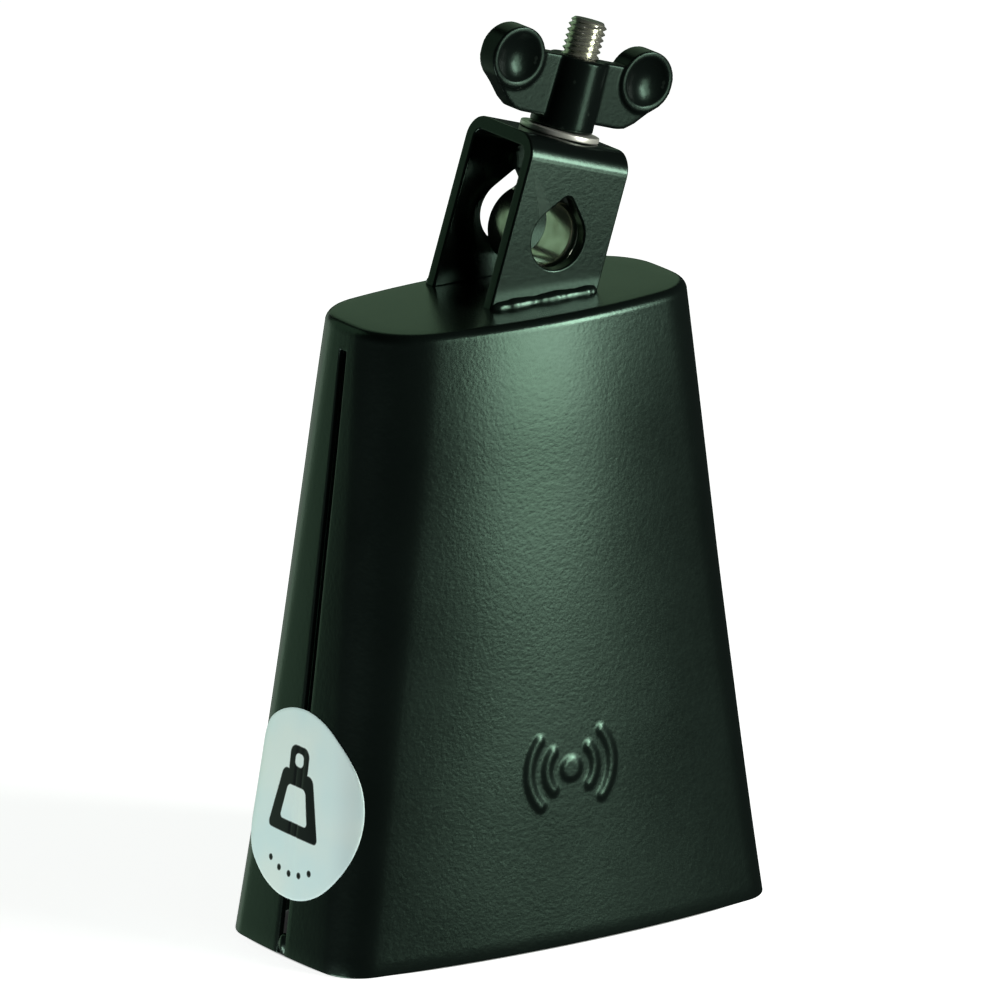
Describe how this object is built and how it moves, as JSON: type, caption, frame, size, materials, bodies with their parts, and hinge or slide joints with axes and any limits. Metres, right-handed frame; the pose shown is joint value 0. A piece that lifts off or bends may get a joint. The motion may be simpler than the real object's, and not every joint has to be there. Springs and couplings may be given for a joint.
{
  "type": "cowbell",
  "caption": "Clamp-on steel cowbell with a folded tapered bell, a leaning welded strap bracket, and an eye bolt drawn up by a wing nut to grip a round rod.",
  "frame": {"origin": "middle of the mouth's rim plane, which is the bottom centre of the whole part's box", "axes": "+Z from the mouth up to the crown, +X along the mouth's long side towards the end the bracket leans to, -Y out of the striking face"},
  "size_m": [0.1116, 0.0544, 0.1898],
  "materials": {
    "bell_coat": "semi-gloss black powder coat with a fine orange-peel texture",
    "bracket_coat": "semi-gloss black powder coat over bent strap and weld beads",
    "nut_coat": "semi-gloss black coat over a die-cast nut",
    "bolt_plate": "bright nickel plate",
    "washer_plate": "nickel-plated steel, slightly dull",
    "label_film": "pale silver printed film"
  },
  "bodies": {
    "bell": {"bell_shell": "bell_coat", "seam_weld_left": "bell_coat", "seam_weld_right": "bell_coat", "round_label": "label_film", "bracket": "bracket_coat", "bracket_weld_front": "bracket_coat", "bracket_weld_rear": "bracket_coat", "washer": "washer_plate"},
    "wing_nut": {"wing_nut": "nut_coat"},
    "eye_bolt": {"eye_bolt": "bolt_plate"}
  },
  "joints": [
    {"name": "wing_nut_turn", "type": "hinge", "parent": "bell", "child": "wing_nut", "pos_m": [0.01785, 0.0036, 0.17286], "axis": [0.3007, 0, 0.9537], "range_deg": [-1728, 576]},
    {"name": "eye_bolt_lift", "type": "slide", "parent": "bell", "child": "eye_bolt", "axis": [0.3007, 0, 0.9537], "range_m": [-0.002, 0.006]}
  ],
  "couplings": [
    {"joint": "eye_bolt_lift", "follows": "wing_nut_turn", "m_per_rad": -0.00019894}
  ]
}
